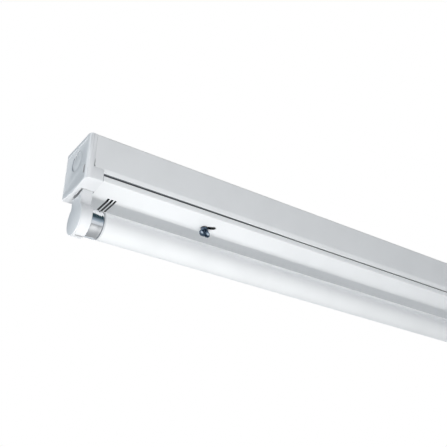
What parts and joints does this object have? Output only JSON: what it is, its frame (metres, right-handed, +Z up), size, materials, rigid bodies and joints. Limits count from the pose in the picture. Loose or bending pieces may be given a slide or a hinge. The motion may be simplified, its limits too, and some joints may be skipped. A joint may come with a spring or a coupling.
{
  "type": "tube light fixture",
  "caption": "White open ceiling batten: folded steel spine, shallow gear cover, moulded end caps and round lampholders carrying one straight fluorescent tube.",
  "frame": {"origin": "middle of the back of the spine, on the ceiling plane, midway between the two fixing slots", "axes": "+X along the tube, with the end seen in the picture at -X; +Z up towards the ceiling; the side seen in the picture faces -Y"},
  "size_m": [0.621, 0.0536, 0.089],
  "materials": {
    "white_enamel": "smooth satin white powder coat",
    "white_moulding": "white moulded plastic, slight sheen",
    "phosphor_glass": "clear glass over a white powder lining",
    "clear_glass": "clear",
    "tube_cap_metal": "bright drawn aluminium",
    "insulating_board": "brown laminate",
    "brass": "bright",
    "bronze": "spring bronze",
    "bare_steel": "zinc plated sheet",
    "zinc": "bluish zinc plate",
    "black_nylon": "black nylon",
    "ballast_enamel": "white enamelled case",
    "circuit_board": "green laminate",
    "grey_moulding": "light grey",
    "grey_rubber": "dark grey rubber",
    "clip_nylon": "natural nylon",
    "white_wire": "white sleeve",
    "brown_wire": "brown sleeve",
    "blue_wire": "blue sleeve",
    "green_wire": "green sleeve with a yellow stripe"
  },
  "bodies": {
    "fixture": {"ballast_board": "circuit_board", "ballast_case": "ballast_enamel", "ballast_earth_lead": "green_wire", "ballast_screws": "zinc", "ballast_terminals_left": "grey_moulding", "ballast_terminals_right": "grey_moulding", "cable_grommet": "grey_rubber", "cover_brackets": "bare_steel", "earth_lead": "green_wire", "earth_nut": "brass", "earth_ring": "brass", "earth_stud": "brass", "fastener_bushes": "black_nylon", "gear_cover": "white_enamel", "gear_plate": "bare_steel", "lamp_contacts_left": "bronze", "lamp_contacts_right": "bronze", "lamp_leads_left": "white_wire", "lamp_leads_right": "white_wire", "lampholder_back_left": "white_moulding", "lampholder_back_right": "white_moulding", "lampholder_body_left": "white_moulding", "lampholder_body_right": "white_moulding", "live_lead": "brown_wire", "neutral_lead": "blue_wire", "spine": "white_enamel", "terminal_block": "grey_moulding", "wire_clips": "clip_nylon"},
    "tube": {"tube_glass": "phosphor_glass", "tube_ferrule_left": "tube_cap_metal", "tube_ferrule_right": "tube_cap_metal", "pin_insulator_left": "insulating_board", "pin_insulator_right": "insulating_board", "tube_pins_left": "brass", "tube_pins_right": "brass", "tube_stem_left": "clear_glass", "tube_stem_right": "clear_glass", "cathode_left": "bare_steel", "cathode_right": "bare_steel"},
    "rotor_left": {"rotor_left": "white_moulding"},
    "rotor_right": {"rotor_right": "white_moulding"},
    "wing_left": {"wing_fastener_left": "zinc"},
    "wing_right": {"wing_fastener_right": "zinc"},
    "cap_left": {"end_cap_left": "white_moulding"},
    "cap_right": {"end_cap_right": "white_moulding"}
  },
  "joints": [
    {"name": "tube_turn", "type": "hinge", "parent": "fixture", "child": "tube", "pos_m": [0, 0, -0.0738], "axis": [1, 0, 0], "range_deg": [0, 90]},
    {"name": "rotor_left_turn", "type": "hinge", "parent": "fixture", "child": "rotor_left", "pos_m": [-0.298, 0, -0.0738], "axis": [1, 0, 0], "range_deg": [0, 90]},
    {"name": "rotor_right_turn", "type": "hinge", "parent": "fixture", "child": "rotor_right", "pos_m": [0.298, 0, -0.0738], "axis": [1, 0, 0], "range_deg": [0, 90]},
    {"name": "wing_left_turn", "type": "hinge", "parent": "fixture", "child": "wing_left", "pos_m": [-0.178, -0.0076, -0.0469], "axis": [0, 0.143, 0.9897], "range_deg": [0, 90]},
    {"name": "wing_right_turn", "type": "hinge", "parent": "fixture", "child": "wing_right", "pos_m": [0.178, -0.0076, -0.0469], "axis": [0, 0.143, 0.9897], "range_deg": [0, 90]},
    {"name": "cap_left_pull", "type": "slide", "parent": "fixture", "child": "cap_left", "axis": [-1, 0, 0], "range_m": [0, 0.02]},
    {"name": "cap_right_pull", "type": "slide", "parent": "fixture", "child": "cap_right", "axis": [1, 0, 0], "range_m": [0, 0.02]}
  ],
  "couplings": [
    {"joint": "rotor_left_turn", "follows": "tube_turn", "ratio": 1},
    {"joint": "rotor_right_turn", "follows": "tube_turn", "ratio": 1}
  ]
}
